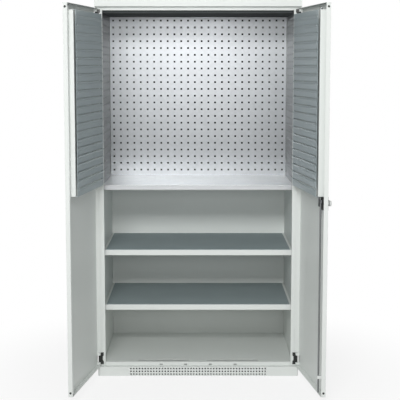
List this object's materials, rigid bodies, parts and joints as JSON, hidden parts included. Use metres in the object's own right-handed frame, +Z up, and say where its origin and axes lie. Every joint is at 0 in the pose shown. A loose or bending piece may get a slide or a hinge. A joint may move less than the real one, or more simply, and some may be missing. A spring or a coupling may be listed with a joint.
{
  "type": "materials cabinet",
  "caption": "Tall steel materials cabinet: hinged doors with louvred panels, perforated upper bay, shelves below, turn handle driving locking rods.",
  "frame": {"origin": "on the floor at the middle of the plinth's front foot flange", "axes": "+X to the viewer's right as the doors are faced, +Y to the back, +Z up"},
  "size_m": [1.2424, 1.1049, 1.95],
  "materials": {
    "light_grey_paint": "light grey powder coat, satin",
    "dark_grey_paint": "dark grey powder coat, satin",
    "galvanised_steel": "galvanised, slightly mottled",
    "black_fittings": "black, matt",
    "shelf_mat": "dark grey, matt",
    "bright_steel": "plain steel",
    "lock_metal": "polished",
    "handle_grey": "light grey, half gloss"
  },
  "bodies": {
    "carcass": {"plinth_front": "light_grey_paint", "plinth_rear": "light_grey_paint", "plinth_left": "light_grey_paint", "plinth_right": "light_grey_paint", "side_wall_left": "light_grey_paint", "side_wall_right": "light_grey_paint", "back_wall": "light_grey_paint", "top_hood": "light_grey_paint", "head_strip": "light_grey_paint", "roof_liner": "dark_grey_paint", "floor_panel": "light_grey_paint", "upright_front_left": "light_grey_paint", "upright_rear_left": "light_grey_paint", "upright_front_right": "light_grey_paint", "upright_rear_right": "light_grey_paint", "lower_lining_left": "light_grey_paint", "lower_lining_right": "light_grey_paint", "middle_shelf": "galvanised_steel", "upper_shelf": "light_grey_paint", "lower_shelf": "light_grey_paint", "upper_mat": "shelf_mat", "lower_mat": "shelf_mat", "upper_shelf_clips": "galvanised_steel", "lower_shelf_clips": "galvanised_steel", "perforated_back_left": "galvanised_steel", "perforated_back_right": "galvanised_steel", "perforated_strip_left": "galvanised_steel", "perforated_strip_right": "galvanised_steel", "perforated_side_left": "galvanised_steel", "perforated_side_right": "galvanised_steel", "panel_rail_lower": "galvanised_steel", "panel_rail_upper": "galvanised_steel", "hinge_brackets_left": "black_fittings", "hinge_brackets_right": "black_fittings", "hinge_pins_left": "bright_steel", "hinge_pins_right": "bright_steel"},
    "left_door": {"door_left": "light_grey_paint", "hinge_lugs_left": "black_fittings", "louvre_panel_left": "dark_grey_paint", "louvre_rail_left_hinge": "light_grey_paint", "louvre_rail_left_free": "light_grey_paint", "meeting_strip": "light_grey_paint"},
    "right_door": {"door_right": "light_grey_paint", "hinge_lugs_right": "black_fittings", "louvre_panel_right": "dark_grey_paint", "louvre_rail_right_hinge": "light_grey_paint", "louvre_rail_right_free": "light_grey_paint", "lock_case": "black_fittings", "lock_plate": "black_fittings", "rod_guides": "black_fittings"},
    "handle": {"turn_handle": "handle_grey", "cam_plate": "bright_steel"},
    "cylinder": {"lock_cylinder": "lock_metal"},
    "upper_lock_rod": {"upper_rod": "bright_steel"},
    "lower_lock_rod": {"lower_rod": "bright_steel"}
  },
  "joints": [
    {"name": "left_door_hinge", "type": "hinge", "parent": "carcass", "child": "left_door", "pos_m": [-0.518, 0.004, 0.98], "axis": [0, 0, 1], "range_deg": [-8.5, 99.5]},
    {"name": "right_door_hinge", "type": "hinge", "parent": "carcass", "child": "right_door", "pos_m": [0.518, 0.004, 0.98], "axis": [0, 0, -1], "range_deg": [-9.5, 98.5]},
    {"name": "handle_turn", "type": "hinge", "parent": "right_door", "child": "handle", "pos_m": [0.59043, -0.48062, 0.982], "axis": [0.989, 0.1478, 0], "range_deg": [0, 90]},
    {"name": "key_turn", "type": "hinge", "parent": "handle", "child": "cylinder", "pos_m": [0.59043, -0.48062, 0.982], "axis": [0.989, 0.1478, 0], "range_deg": [0, 90]},
    {"name": "upper_rod_slide", "type": "slide", "parent": "right_door", "child": "upper_lock_rod", "axis": [0, 0, 1], "range_m": [0, 0.0198]},
    {"name": "lower_rod_slide", "type": "slide", "parent": "right_door", "child": "lower_lock_rod", "axis": [0, 0, -1], "range_m": [0, 0.0198]}
  ],
  "couplings": [
    {"joint": "handle_turn", "follows": "upper_rod_slide", "rad_per_m": 79.3},
    {"joint": "lower_rod_slide", "follows": "upper_rod_slide", "ratio": 1}
  ]
}
